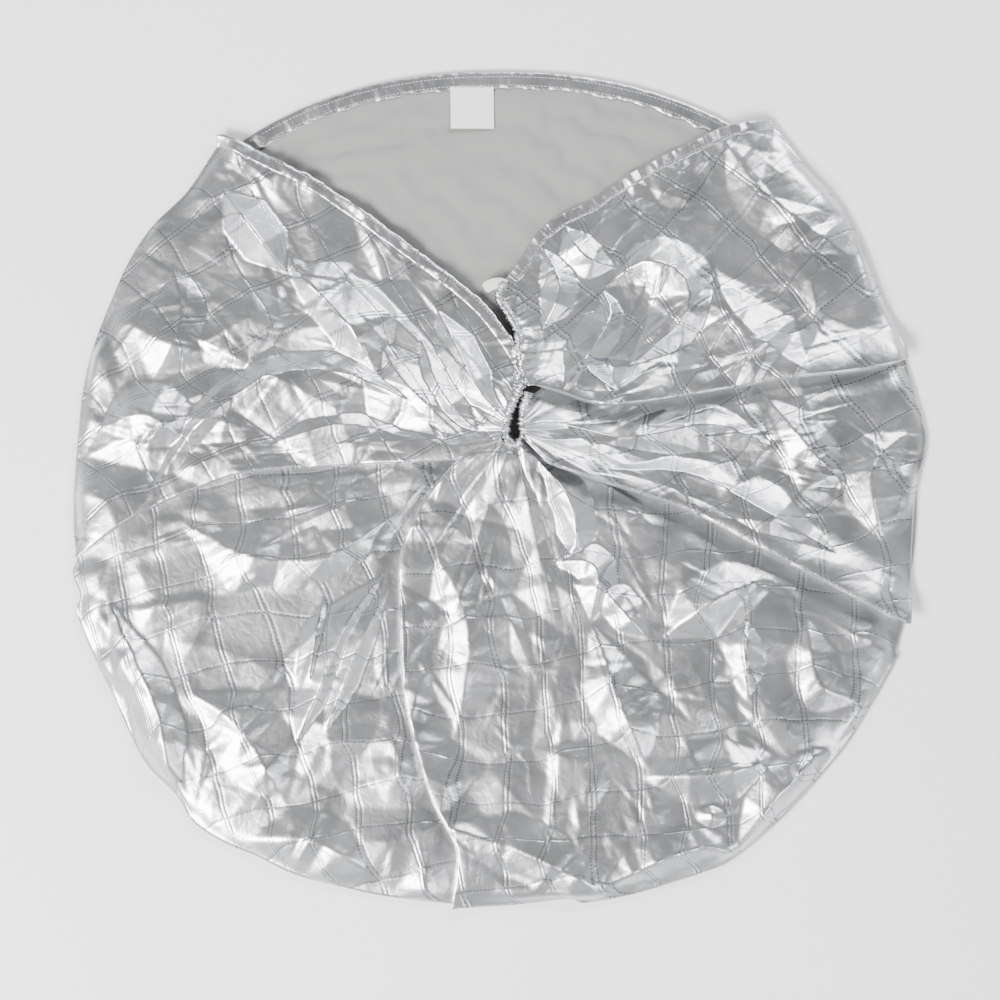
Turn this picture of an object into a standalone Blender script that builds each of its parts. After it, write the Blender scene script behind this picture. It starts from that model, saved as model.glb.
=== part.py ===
"""A quilted foil cover for a caravan's spare wheel, empty, lying on its front panel.

Metres, +Z up. The origin is the middle of the base and +Y runs to the open side of the rear panel.
Bearings are degrees from +X, anticlockwise as seen from above.
"""

import math

import bmesh
import bpy
from mathutils import Vector

# Outline of the front panel
HALF_WIDTH = 0.404
HALF_LENGTH = 0.395
RIM_POWER = 2.2
RIM_BULGES = ((217, 0.010, 16), (318, 0.005, 12))  # bearing, extra reach, spread in degrees

# Cloth plies, from the floor up
SHELL_PLY = 0.0008
WADDING_PLY = 0.0012
LINING_PLY = 0.0005
PLY_GAP = 0.0003
FULL_PLY = SHELL_PLY + WADDING_PLY + LINING_PLY + 2 * PLY_GAP
FRONT_SHELL = (0.0, 0.0006)
FRONT_WADDING = (0.0009, 0.0024)
FRONT_LINING = (0.0027, 0.0032)
ARC_HEM = (0.0035, 0.0043)
THREADS = (0.0046, 0.0050)
THREAD_WIDTH = 0.0008
PANEL_INSET = 0.006  # how far the wadding and lining of the front panel stop short of its edge
RIM_SEAM_INSETS = (0.002, 0.003)
RIM_SEAM_LEVELS = (0.0009, 0.0016)

# The free arc of the front panel, which folds up about the chord between these two bearings
ARC_START = 59.7
ARC_END = 125.8
ARC_HEM_WIDTH = 0.015
ARC_HEM_INSET = 0.0005
ARC_INSET = 0.003
BEARING_STEP = 0.05
CHORD_GAP = 0.0012  # what lies past the fold chord starts this far from it
ARC_STITCH_INSETS = {"arc_stitch_outer": 0.003, "arc_stitch_inner": 0.011}

# The sewn label, which swings about its upper edge
LABEL_SIDES = (-0.047, -0.006)
LABEL_ENDS = (0.342, 0.3785)
LABEL_STITCH_SIDES = (-0.045, -0.008)
LABEL_STITCH_ENDS = (0.3805, 0.3813)

# The rear panel, from the left hem round to the corner that folds back
LEFT_TIP = 129.5
HINGE_BEARING = 411.6
RIM_Z = 0.0028
ROLL_WIDTH = 0.022
ROLL_HEIGHT = 0.013
ROLL_AT_HINGE = 0.0052
DOME = 0.006
MOUTH = (
    Vector((0.020, 0.106, 0.016)),
    Vector((0.008, 0.086, 0.017)),
    Vector((-0.002, 0.069, 0.020)),
    Vector((-0.005, 0.053, 0.025)),
    Vector((0.002, 0.040, 0.030)),
    Vector((0.014, 0.035, 0.033)),
    Vector((0.027, 0.040, 0.033)),
    Vector((0.033, 0.054, 0.032)),
    Vector((0.032, 0.074, 0.031)),
    Vector((0.034, 0.094, 0.030)),
)
# Rim bearing, height at the crest and half width in degrees of each big fold
FOLDS = (
    (152, 0.007, 12),
    (178, 0.009, 12),
    (192, 0.006, 9),
    (214, 0.008, 12),
    (236, 0.007, 10),
    (256, 0.009, 10),
    (285, 0.007, 10),
    (304, 0.008, 10),
    (322, 0.006, 9),
    (340, 0.011, 12),
    (372, 0.013, 14),
    (392, 0.006, 10),
)
HEM_WIDTH = 0.012
LEFT_STITCH = (0.72, 0.79)  # shares of the hem's width
CORNER_STITCH = (0.20, 0.27)
HEM_GAP = 0.0012
REAR_COLUMNS = 56
REAR_ROWS = 8
CORNER_ROWS = 12
RIM_CROWDING = 1.6  # brings the rows of the cloth's grid closer together near the rim
MOUTH_EDGE = 0.985  # where the plies end, short of the casing

# The corner flap between the hinge line and the right hem
CORNER_TIP = Vector((0.2535, 0.3490, 0.0085))
CORNER_END = Vector((0.009, 0.203, 0.031))
CORNER_MOUTH_BOW = 0.006
CORNER_HEM_BOW = 0.016
HINGE_GAP = 0.0007

# Elastic and its casing
CASING_RADIUS = 0.0046
CASING_WALL = 0.0007
ELASTIC_RADIUS = 0.0030
CASING_CLEARANCE = 0.0055
REAR_CASING = (0.03, 0.965)
CORNER_CASING = (0.10, 0.93)
ELASTIC_END_RADIUS = 0.0035
ELASTIC_END = ((0.0045, 0.0008), (0.012, 0.004), (0.0195, 0.0105))


def clear_scene():
    for obj in list(bpy.data.objects):
        bpy.data.objects.remove(obj, do_unlink=True)


def collection(name):
    made = bpy.data.collections.new(name)
    bpy.context.scene.collection.children.link(made)
    return made


def material(name, color, roughness, metallic=0.0):
    made = bpy.data.materials.new(name)
    made.use_nodes = True
    shader = made.node_tree.nodes["Principled BSDF"]
    shader.inputs["Base Color"].default_value = (*color, 1)
    shader.inputs["Roughness"].default_value = roughness
    shader.inputs["Metallic"].default_value = metallic
    return made


def add_object(name, data, finish):
    obj = bpy.data.objects.new(name, data)
    data.materials.append(finish)
    cover.objects.link(obj)
    return obj


def rim_radius(bearing):
    """Reach of the front panel's edge: a rounded square with two soft bulges."""
    turn = math.radians(bearing)
    across = abs(math.cos(turn) / HALF_WIDTH) ** RIM_POWER
    along = abs(math.sin(turn) / HALF_LENGTH) ** RIM_POWER
    reach = (across + along) ** (-1 / RIM_POWER)
    for middle, extra, spread in RIM_BULGES:
        away = (bearing - middle + 180) % 360 - 180
        reach += extra * math.exp(-((away / spread) ** 2))
    return reach


def rim_point(bearing, inset=0.0, z=0.0):
    turn = math.radians(bearing)
    reach = rim_radius(bearing) - inset
    return Vector((reach * math.cos(turn), reach * math.sin(turn), z))


def rim_run(first, last, inset, cells):
    return [rim_point(first + (last - first) * i / cells, inset) for i in range(cells + 1)]


def flat_piece(name, outline, levels, finish):
    """A flat closed outline, filled, between two heights."""
    bottom, top = levels
    shape = bpy.data.curves.new(name, "CURVE")
    shape.dimensions = "2D"
    shape.fill_mode = "BOTH"
    shape.extrude = (top - bottom) / 2
    line = shape.splines.new("POLY")
    line.points.add(len(outline) - 1)
    for point, place in zip(line.points, outline):
        point.co = (place.x, place.y, 0, 1)
    line.use_cyclic_u = True
    obj = add_object(name, shape, finish)
    obj.location.z = (top + bottom) / 2
    return obj


def band(first, last, outer_inset, inner_inset, cells):
    """The outline of a strip that follows the rim."""
    outer = rim_run(first, last, outer_inset, cells)
    inner = rim_run(first, last, inner_inset, cells)
    return outer + inner[::-1]


def cloth_slab(name, surface, s_range, columns, rows, top, ply, finish):
    """A ply of cloth: a grid laid on the surface, lowered to its level and given its thickness."""
    mesh = bmesh.new()
    bmesh.ops.create_grid(mesh, x_segments=columns, y_segments=len(rows) - 1, size=0.5)
    for vert in mesh.verts:
        s = s_range[0] + (s_range[1] - s_range[0]) * (vert.co.x + 0.5)
        vert.co = surface(s, rows[round((vert.co.y + 0.5) * (len(rows) - 1))])
        vert.co.z -= top
    lower = bmesh.ops.extrude_face_region(mesh, geom=mesh.faces[:])
    for item in lower["geom"]:
        if isinstance(item, bmesh.types.BMVert):
            item.co.z -= ply
    bmesh.ops.recalc_face_normals(mesh, faces=mesh.faces)
    data = bpy.data.meshes.new(name)
    mesh.to_mesh(data)
    mesh.free()
    return add_object(name, data, finish)


def smooth_step(value):
    value = min(max(value, 0.0), 1.0)
    return value * value * (3 - 2 * value)


def along_route(points, share):
    """A smooth curve through the points, at a share of the way from the first to the last."""
    place = min(max(share, 0.0), 1.0) * (len(points) - 1)
    i = min(int(place), len(points) - 2)
    u = place - i
    before, start = points[max(i - 1, 0)], points[i]
    end, after = points[i + 1], points[min(i + 2, len(points) - 1)]
    return 0.5 * (
        2 * start
        + (end - before) * u
        + (2 * before - 5 * start + 4 * end - after) * u * u
        + (3 * start - before - 3 * end + after) * u**3
    )


HINGE_FOOT = rim_point(HINGE_BEARING, 0.010, RIM_Z + ROLL_AT_HINGE)
HINGE_HEAD = MOUTH[-1]
HINGE_SIDE = Vector((HINGE_FOOT.y - HINGE_HEAD.y, HINGE_HEAD.x - HINGE_FOOT.x, 0)).normalized() * -1


def rear_surface(s, t):
    """Top of the rear panel: s runs from the left hem to the hinge line, t from the rim to the mouth."""
    bearing = LEFT_TIP + (HINGE_BEARING - LEFT_TIP) * s
    rim = rim_point(bearing)
    mouth = along_route(MOUTH, s)
    toward = mouth - rim
    toward.z = 0
    place = rim + toward * t
    reached = toward.length * t
    free = smooth_step(s / 0.07) * smooth_step((1 - s) / 0.07)
    roll = ROLL_AT_HINGE + (ROLL_HEIGHT - ROLL_AT_HINGE) * free
    roll_width = 0.010 + (ROLL_WIDTH - 0.010) * free
    height = RIM_Z + roll * smooth_step(reached / roll_width)
    height += (mouth.z - RIM_Z - roll) * max(0.0, reached - roll_width) / (toward.length - roll_width)
    height += DOME * free * math.sin(math.pi * t)
    for crest, rise, spread in FOLDS:
        near = max(0.0, 1 - abs(bearing - crest) / spread)
        height += rise * near * free * smooth_step(t / 0.35) * (1 - 0.45 * t)
    place.z = height
    return place - HINGE_SIDE * HINGE_GAP * (1 if s == 1 else 0)


def corner_surface(s, t):
    """Top of the corner flap: s runs from the hinge line to the right hem, t from the tip to the mouth."""
    foot = HINGE_FOOT.lerp(CORNER_TIP, s)
    head = HINGE_HEAD.lerp(CORNER_END, s)
    bow = math.sin(math.pi * s)
    head = head - Vector((CORNER_MOUTH_BOW * bow, 0, 0))
    place = foot.lerp(head, t)
    place += HINGE_SIDE * (CORNER_HEM_BOW * s * math.sin(math.pi * t) + HINGE_GAP * (1 - s))
    place.z += 0.004 * bow * math.sin(math.pi * t)
    return place


def tube(name, route, radius, finish, wall=0.0):
    """A round tube along a route: solid with caps, or hollow and open ended where it has a wall."""
    shape = bpy.data.curves.new(name, "CURVE")
    shape.dimensions = "3D"
    shape.bevel_depth = radius
    shape.bevel_resolution = 2
    shape.use_fill_caps = wall == 0
    line = shape.splines.new("POLY")
    line.points.add(len(route) - 1)
    for point, place in zip(line.points, route):
        point.co = (*place, 1)
    obj = add_object(name, shape, finish)
    if wall:
        shell = obj.modifiers.new("wall", "SOLIDIFY")
        shell.thickness = wall
        shell.offset = -1
    return obj


def thread_on(name, surface, s_range, rows, finish):
    """A row of stitches as one thin raised thread, just above the cloth."""
    return cloth_slab(name, surface, s_range, 1, rows, -PLY_GAP - 0.0004, 0.0004, finish)


def share_of(surface, edge, width, t=0.5):
    """How much of s a strip of this width takes, measured across the middle of the panel."""
    step = 0.001 if edge == 0 else -0.001
    return abs(step) * width / (surface(edge, t) - surface(edge + step, t)).length


def clear_of_chord(bearing, step, inset):
    """The first bearing where the edge, set in by this much, lies past the fold chord."""
    while (rim_point(bearing, inset) - chord_start).dot(chord_out) < CHORD_GAP:
        bearing += step
    return bearing


def rectangle(sides, ends):
    left, right = sides
    near, far = ends
    corners = ((left, near), (right, near), (right, far), (left, far))
    return [Vector((x, y, 0)) for x, y in corners]


def mouth_route(surface, first, last, cells):
    """Points just inside the gathered edge, at the middle of the cloth."""
    route = []
    for i in range(cells + 1):
        s = first + (last - first) * i / cells
        edge, back = surface(s, 1.0), surface(s, 0.97)
        out = edge - back
        out.z = 0
        route.append(edge + out.normalized() * CASING_CLEARANCE - Vector((0, 0, FULL_PLY / 2)))
    return route


clear_scene()
cover = collection("spare_wheel_cover")
foil = material("silver_foil_cloth", (0.70, 0.71, 0.72), 0.34, 0.9)
hem_foil = material("folded_foil_hem", (0.66, 0.67, 0.68), 0.38, 0.9)
fleece = material("polyester_wadding", (0.86, 0.86, 0.84), 0.95)
lining = material("nonwoven_lining", (0.62, 0.63, 0.62), 0.85)
thread = material("polyester_thread", (0.72, 0.70, 0.66), 0.70)
elastic = material("white_elastic", (0.85, 0.85, 0.83), 0.80)
label_cloth = material("label_ribbon", (0.88, 0.88, 0.86), 0.60)

# Front panel: foil cloth on the floor, wadding and lining over it, cut off at the fold chord
for name, levels, inset, finish in (
    ("front_shell", FRONT_SHELL, 0.0, foil),
    ("front_wadding", FRONT_WADDING, PANEL_INSET, fleece),
    ("front_lining", FRONT_LINING, PANEL_INSET, lining),
):
    flat_piece(name, rim_run(ARC_END, ARC_START + 360, inset, 96), levels, finish)

# Free arc of the front panel: the same plies beyond the chord, with a folded hem and two rows of stitches
chord_start = rim_point(ARC_START)
chord_end = rim_point(ARC_END)
chord_out = Vector((chord_end.y - chord_start.y, chord_start.x - chord_end.x, 0)).normalized()

for name, levels, inset, finish in (
    ("arc_shell", FRONT_SHELL, 0.0, foil),
    ("arc_wadding", FRONT_WADDING, ARC_INSET, fleece),
    ("arc_lining", FRONT_LINING, ARC_INSET, lining),
):
    start = clear_of_chord(ARC_START, BEARING_STEP, inset)
    end = clear_of_chord(ARC_END, -BEARING_STEP, inset)
    flat_piece(name, rim_run(start, end, inset, 26), levels, finish)
hem_start = clear_of_chord(ARC_START, BEARING_STEP, ARC_HEM_WIDTH)
hem_end = clear_of_chord(ARC_END, -BEARING_STEP, ARC_HEM_WIDTH)
flat_piece("arc_hem", band(hem_start, hem_end, ARC_HEM_INSET, ARC_HEM_WIDTH, 24), ARC_HEM, hem_foil)
for name, inset in ARC_STITCH_INSETS.items():
    flat_piece(name, band(hem_start, hem_end, inset, inset + THREAD_WIDTH, 24), THREADS, thread)

flat_piece("label", rectangle(LABEL_SIDES, LABEL_ENDS), THREADS, label_cloth)
flat_piece("label_stitch", rectangle(LABEL_STITCH_SIDES, LABEL_STITCH_ENDS), THREADS, thread)

# Lockstitch that joins the two panels, between their edges all round the rim
rim_seam = band(LEFT_TIP + 1, HINGE_BEARING - 1, *RIM_SEAM_INSETS, 72)
flat_piece("rim_seam_thread", rim_seam, RIM_SEAM_LEVELS, thread)

# Rear panel: the left edge is turned in as a hem, and three plies run on to the hinge line
hem_share = share_of(rear_surface, 0, HEM_WIDTH)
sheet_range = (hem_share + HEM_GAP, 1.0)
rim_rows = [MOUTH_EDGE * (row / REAR_ROWS) ** RIM_CROWDING for row in range(REAR_ROWS + 1)]
inner_rows = rim_rows[1:]
rear_plies = (
    ("rear_shell", 0.0, SHELL_PLY, rim_rows, foil),
    ("rear_wadding", SHELL_PLY + PLY_GAP, WADDING_PLY, inner_rows, fleece),
    ("rear_lining", SHELL_PLY + WADDING_PLY + 2 * PLY_GAP, LINING_PLY, inner_rows, lining),
)
for name, top, ply, rows, finish in rear_plies:
    cloth_slab(name, rear_surface, sheet_range, REAR_COLUMNS, rows, top, ply, finish)
cloth_slab("left_hem", rear_surface, (0.0, hem_share), 1, inner_rows, 0.0, FULL_PLY, hem_foil)
left_stitch = [hem_share * share for share in LEFT_STITCH]
thread_on("left_hem_stitch", rear_surface, left_stitch, inner_rows, thread)

# Corner flap: the same plies beyond the hinge line, with its own hem and stitches
corner_hem = 1 - share_of(corner_surface, 1, HEM_WIDTH)
corner_plies = (
    ("corner_shell", 0.0, SHELL_PLY, foil),
    ("corner_wadding", SHELL_PLY + PLY_GAP, WADDING_PLY, fleece),
    ("corner_lining", SHELL_PLY + WADDING_PLY + 2 * PLY_GAP, LINING_PLY, lining),
)
corner_rows = [MOUTH_EDGE * row / CORNER_ROWS for row in range(CORNER_ROWS + 1)]
for name, top, ply, finish in corner_plies:
    cloth_slab(name, corner_surface, (0.0, corner_hem - PANEL_INSET), 5, corner_rows, top, ply, finish)
cloth_slab("corner_hem", corner_surface, (corner_hem, 1.0), 1, corner_rows, 0.0, FULL_PLY, hem_foil)
corner_stitch = [corner_hem + (1 - corner_hem) * share for share in CORNER_STITCH]
thread_on("corner_hem_stitch", corner_surface, corner_stitch, corner_rows, thread)

# Elastic in its casing along the gathered edge, in two lengths that meet at the hinge line
for casing_name, band_name, surface, ends, cells in (
    ("elastic_casing", "elastic_band", rear_surface, REAR_CASING, 38),
    ("corner_casing", "corner_elastic", corner_surface, CORNER_CASING, 12),
):
    route = mouth_route(surface, *ends, cells)
    tube(casing_name, route, CASING_RADIUS, foil, CASING_WALL)
    tube(band_name, route, ELASTIC_RADIUS, elastic)

# Cut end of the elastic, standing out of the casing at the corner
before_end, casing_end = mouth_route(corner_surface, CORNER_CASING[1] - 0.03, CORNER_CASING[1], 1)
casing_way = (casing_end - before_end).normalized()
end_side = Vector((-casing_way.y, casing_way.x, 0))
end_route = [casing_end + casing_way * (run * 0.6) + end_side * run * 0.8 for run, _ in ELASTIC_END]
tube("elastic_end", end_route, ELASTIC_END_RADIUS, elastic)
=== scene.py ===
import math

import bmesh
import bpy
import numpy as np
from mathutils import Matrix, Vector


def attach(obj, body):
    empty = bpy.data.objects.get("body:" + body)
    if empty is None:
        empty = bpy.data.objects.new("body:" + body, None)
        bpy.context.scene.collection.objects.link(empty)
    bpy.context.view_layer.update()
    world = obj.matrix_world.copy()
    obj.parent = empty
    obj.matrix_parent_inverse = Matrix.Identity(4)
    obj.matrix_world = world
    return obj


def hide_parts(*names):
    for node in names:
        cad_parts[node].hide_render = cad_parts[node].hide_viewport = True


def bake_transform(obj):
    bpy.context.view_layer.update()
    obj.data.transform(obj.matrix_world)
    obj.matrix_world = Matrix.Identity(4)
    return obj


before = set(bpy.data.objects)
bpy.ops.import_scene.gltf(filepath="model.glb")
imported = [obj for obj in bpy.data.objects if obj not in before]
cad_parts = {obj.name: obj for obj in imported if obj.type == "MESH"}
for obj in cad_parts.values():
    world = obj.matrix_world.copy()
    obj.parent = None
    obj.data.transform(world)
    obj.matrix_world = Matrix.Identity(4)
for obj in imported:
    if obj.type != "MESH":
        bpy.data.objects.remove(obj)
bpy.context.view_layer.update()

# Camera, looking straight down on the cover as it lies on its front panel.
# One picture side takes in 0.94 m at the height of the cloth.
MM = 0.001
VIEW_SIDE = 940 * MM
VIEW_HEIGHT = 2.5
CLOTH_LEVEL = 20 * MM
SENSOR = 36
camera_data = bpy.data.cameras.new("camera")
camera_data.sensor_width = SENSOR
camera_data.lens = SENSOR * (VIEW_HEIGHT - CLOTH_LEVEL) / VIEW_SIDE
camera = bpy.data.objects.new("camera", camera_data)
camera.location = (0, -9 * MM, VIEW_HEIGHT)
bpy.context.scene.collection.objects.link(camera)
bpy.context.scene.camera = camera


# Front panel, inner side: grey-white nonwoven lining, quilted to the foil cloth through a
# thin wadding. It lies on the table and shows through the V opening as soft, shallow waves.
HALF_WIDTH = 404 * MM
HALF_LENGTH = 395 * MM
RIM_POWER = 2.2
QUILT_PITCH = 43 * MM
LINING_LEVEL = 3.3 * MM
LINING_INSET = 1.2 * MM
SEWN_INSET = 9 * MM
FREE_ARC = (58, 128)
QUILT_TURN = 38
NET_CELLS = 62
LINING_CELLS = 210
LABEL_MIDDLE = (-26 * MM, 362 * MM)
CALM_REACH = (42 * MM, 44 * MM)
WAVE_LIMIT = 4.2 * MM
TABLE_LEVEL = 1.4 * MM
CUT_LARGE = 0.028
FALL_FRAMES = 30
LINING_COLOR = (0.262, 0.268, 0.264)


def rim_radius(bearing):
    """Reach of the front panel's edge at a bearing in radians."""
    across = np.abs(np.cos(bearing) / HALF_WIDTH) ** RIM_POWER
    along = np.abs(np.sin(bearing) / HALF_LENGTH) ** RIM_POWER
    return (across + along) ** (-1 / RIM_POWER)


def smooth(value):
    value = np.clip(value, 0, 1)
    return value * value * (3 - 2 * value)


def hashed(i, j, seed):
    """A repeatable number from 0 to 1 for each lattice cell."""
    value = np.sin(i * 127.1 + j * 311.7 + seed * 74.7) * 43758.5453
    return value - np.floor(value)


def waves(x, y, cell, seed):
    """Smooth value noise from -1 to 1, one swell to a cell."""
    px, py = x / cell, y / cell
    i, j = np.floor(px), np.floor(py)
    u, v = smooth(px - i), smooth(py - j)
    low = hashed(i, j, seed) * (1 - u) + hashed(i + 1, j, seed) * u
    high = hashed(i, j + 1, seed) * (1 - u) + hashed(i + 1, j + 1, seed) * u
    return 2 * (low * (1 - v) + high * v) - 1


def facets(x, y, cell, seed, turn=0.0, stretch=1.0):
    """Flat facets with sharp creases between them, as in creased foil, from 0 to about 1."""
    c, s = math.cos(turn), math.sin(turn)
    px, py = (x * c + y * s) / (cell * stretch), (y * c - x * s) / cell
    i, j = np.floor(px), np.floor(py)
    first = np.full_like(px, 9.0)
    second = np.full_like(px, 9.0)
    for di in (-1, 0, 1):
        for dj in (-1, 0, 1):
            ci, cj = i + di, j + dj
            off_x, off_y = ci + hashed(ci, cj, seed) - px, cj + hashed(ci, cj, seed + 5) - py
            away = off_x**2 + off_y**2
            second = np.minimum(second, np.maximum(first, away))
            first = np.minimum(first, away)
    return second - first


def quilt_relief(x, y, depth, width):
    """Stitched lines of the square quilting, pressed into the cloth."""
    relief = 0
    for along in (x, y):
        off = np.abs((along / QUILT_PITCH + 0.5) % 1 - 0.5) * QUILT_PITCH
        relief = relief - depth * np.exp(-((off / width) ** 2))
    return relief


def grid_mesh(name, columns, rows, place, cloth):
    """A sheet of quads whose points and cloth coordinates are arrays of columns by rows."""
    sheet = bmesh.new()
    sheet.loops.layers.uv.new("cloth")
    bmesh.ops.create_grid(sheet, x_segments=columns - 1, y_segments=rows - 1, size=0.5, calc_uvs=True)
    mesh = bpy.data.meshes.new(name)
    sheet.to_mesh(mesh)
    sheet.free()
    flat = np.empty(len(mesh.vertices) * 3)
    mesh.vertices.foreach_get("co", flat)
    flat = flat.reshape(-1, 3)
    column = np.rint((flat[:, 0] + 0.5) * (columns - 1)).astype(int)
    row = np.rint((flat[:, 1] + 0.5) * (rows - 1)).astype(int)
    mesh.vertices.foreach_set("co", place[column, row].ravel())
    corner = np.empty(len(mesh.loops), int)
    mesh.loops.foreach_get("vertex_index", corner)
    mesh.uv_layers["cloth"].data.foreach_set("uv", cloth[column, row][corner].ravel())
    mesh.update()
    return mesh


def plane_mesh(name, cells, half):
    """A level square of quads that reaches half to each side."""
    shape = bmesh.new()
    bmesh.ops.create_grid(shape, x_segments=cells, y_segments=cells, size=half)
    mesh = bpy.data.meshes.new(name)
    shape.to_mesh(mesh)
    shape.free()
    return mesh


def add_piece(name, mesh, *finishes):
    piece = bpy.data.objects.new(name, mesh)
    bpy.context.scene.collection.objects.link(piece)
    for finish in finishes:
        piece.data.materials.append(finish)
    piece.data.shade_smooth()
    return piece


def thicken(piece, thickness, lined=False):
    """Gives a sheet its thickness, under the side that is drawn. A lined one has its second finish inside."""
    wall = piece.modifiers.new("thickness", "SOLIDIFY")
    wall.thickness = thickness
    wall.offset = -1
    wall.material_offset = 1 if lined else 0
    return wall


def turned_up(mesh):
    """Flips the mesh where its faces look down on the whole."""
    if sum(face.normal.z * face.area for face in mesh.polygons) < 0:
        mesh.flip_normals()
    return mesh


def node(tree, kind, inputs=None, **settings):
    made = tree.nodes.new(kind)
    for name, value in settings.items():
        setattr(made, name, value)
    for name, value in (inputs or {}).items():
        if isinstance(value, bpy.types.NodeSocket):
            tree.links.new(value, made.inputs[name])
        else:
            made.inputs[name].default_value = value
    return made


def mixed_color(tree, factor, low, high):
    """Color between two constants, for a factor from 0 to 1."""
    made = node(tree, "ShaderNodeMix", {"Factor": factor}, data_type="RGBA")
    made.inputs[6].default_value = (*low, 1)
    made.inputs[7].default_value = (*high, 1)
    return made.outputs[2]


def shader_of(name, roughness, metallic=0.0):
    """A new material with its Principled shader and its node tree."""
    finish = bpy.data.materials.new(name)
    finish.use_nodes = True
    tree = finish.node_tree
    shader = tree.nodes["Principled BSDF"]
    shader.inputs["Roughness"].default_value = roughness
    shader.inputs["Metallic"].default_value = metallic
    return finish, tree, shader


def add_relief(tree, shader, height, strength, distance):
    """Bumps the shader's surface by a height that counts in units of the distance."""
    bump = node(tree, "ShaderNodeBump", {"Height": height, "Strength": strength, "Distance": distance})
    tree.links.new(bump.outputs["Normal"], shader.inputs["Normal"])


def lining_finish():
    """Nonwoven cloth: matt, faintly mottled, with fine felted fibres."""
    finish, tree, shader = shader_of("nonwoven lining", 0.88)
    place = node(tree, "ShaderNodeTexCoord").outputs["Object"]
    cloud = node(tree, "ShaderNodeTexNoise", {"Vector": place, "Scale": 14.0, "Detail": 4.0})
    fibre = node(tree, "ShaderNodeTexNoise", {"Vector": place, "Scale": 900.0, "Detail": 3.0})
    dim, pale = [0.93 * c for c in LINING_COLOR], [1.07 * c for c in LINING_COLOR]
    tree.links.new(mixed_color(tree, cloud.outputs["Fac"], dim, pale), shader.inputs["Base Color"])
    add_relief(tree, shader, fibre.outputs["Fac"], 0.25, 0.3 * MM)
    return finish


def disc_grid(cells, inset):
    """A square grid of points drawn out into the panel's rounded outline, with no pole."""
    u, v = np.meshgrid(np.linspace(-1, 1, cells), np.linspace(-1, 1, cells), indexing="ij")
    x, y = u * np.sqrt(1 - v * v / 2), v * np.sqrt(1 - u * u / 2)
    bearing, share = np.arctan2(y, x), np.hypot(x, y)
    degrees = np.degrees(bearing)
    sewn = 1 - smooth((degrees - FREE_ARC[0]) / 5) * smooth((FREE_ARC[1] - degrees) / 5)
    reach = rim_radius(bearing) - inset - SEWN_INSET * sewn
    return share * reach * np.cos(bearing), share * reach * np.sin(bearing), share


def settled(place, share):
    """A coarse net of the lining as simulated cloth: cut large, sewn at the rim, fallen on the table."""
    cells = len(place)
    net = add_piece("lining_net", grid_mesh("lining_net", cells, cells, place, place[..., :2]))
    sewn = net.vertex_groups.new(name="sewn")
    sewn.add([int(i) for i in np.flatnonzero(share.T.ravel() > 0.97)], 1.0, "REPLACE")
    table = add_piece("table", plane_mesh("table", 8, 0.6))
    table.location.z = TABLE_LEVEL
    table.modifiers.new("table", "COLLISION")
    table.collision.thickness_outer = 0.5 * MM
    cloth = net.modifiers.new("cloth", "CLOTH")
    cloth.settings.quality = 6
    cloth.settings.shrink_min = -CUT_LARGE
    cloth.settings.bending_stiffness = 0.12
    cloth.settings.vertex_group_mass = "sewn"
    cloth.collision_settings.distance_min = 1.0 * MM
    for frame_number in range(1, FALL_FRAMES + 1):
        bpy.context.scene.frame_set(frame_number)
    fallen = net.evaluated_get(bpy.context.evaluated_depsgraph_get()).to_mesh()
    points = np.empty(cells * cells * 3)
    fallen.vertices.foreach_get("co", points)
    bpy.context.scene.frame_set(1)
    for helper in (net, table):
        bpy.data.objects.remove(helper, do_unlink=True)
    return points.reshape(cells, cells, 3).transpose(1, 0, 2)


def curve_through(points, at):
    """Points on the smooth curve through given ones, at steps counted along the first axis."""
    i = at.astype(int)
    u = (at - i).reshape(-1, *[1] * (points.ndim - 1))
    padded = np.concatenate([2 * points[:1] - points[1:2], points, 2 * points[-1:] - points[-2:-1]])
    a, b, c, d = padded[i], padded[i + 1], padded[i + 2], padded[i + 3]
    bend = (2 * a - 5 * b + 4 * c - d) * u**2
    return 0.5 * (2 * b + (c - a) * u + bend + (3 * b - a - 3 * c + d) * u**3)


def finer(net, count):
    """A net of points made finer along both of its directions."""
    at = np.linspace(0, len(net) - 1 - 1e-9, count)
    return curve_through(curve_through(net, at).transpose(1, 0, 2), at).transpose(1, 0, 2)


def turned(x, y, degrees):
    """Coordinates read along axes that are turned anticlockwise."""
    c, s = math.cos(math.radians(degrees)), math.sin(math.radians(degrees))
    return x * c + y * s, y * c - x * s


net_x, net_y, net_share = disc_grid(NET_CELLS, LINING_INSET)
net_swell = (2.2 + 1.2 * waves(net_x + 0.4 * net_y, net_y, 55 * MM, 3)) * MM
net_rise = net_swell * smooth((1 - net_share) / 0.1)
net_place = np.stack([net_x, net_y, LINING_LEVEL + net_rise], -1)
net_place = settled(net_place, net_share)
lining_x, lining_y, fallen_z = np.moveaxis(finer(net_place, LINING_CELLS), -1, 0)
lining_share = disc_grid(LINING_CELLS, LINING_INSET)[2]
label_away = [(lining_x - LABEL_MIDDLE[0]) / CALM_REACH[0], (lining_y - LABEL_MIDDLE[1]) / CALM_REACH[1]]
beside_label = smooth(np.hypot(*label_away) - 0.4)
calm_edge = smooth((1 - lining_share) / 0.10)
lining_rise = WAVE_LIMIT * np.tanh(np.maximum(fallen_z - 2.2 * MM, 0.3 * MM) / WAVE_LIMIT)
lining_z = LINING_LEVEL + lining_rise * calm_edge * (0.25 + 0.75 * beside_label)
quilt_x, quilt_y = turned(lining_x, lining_y, QUILT_TURN)
lining_z += quilt_relief(quilt_x, quilt_y, 0.55 * MM, 2.6 * MM) * calm_edge
lining_place = np.stack([lining_x, lining_y, lining_z], -1)
lining_cloth = np.stack([quilt_x, quilt_y], -1)
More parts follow.
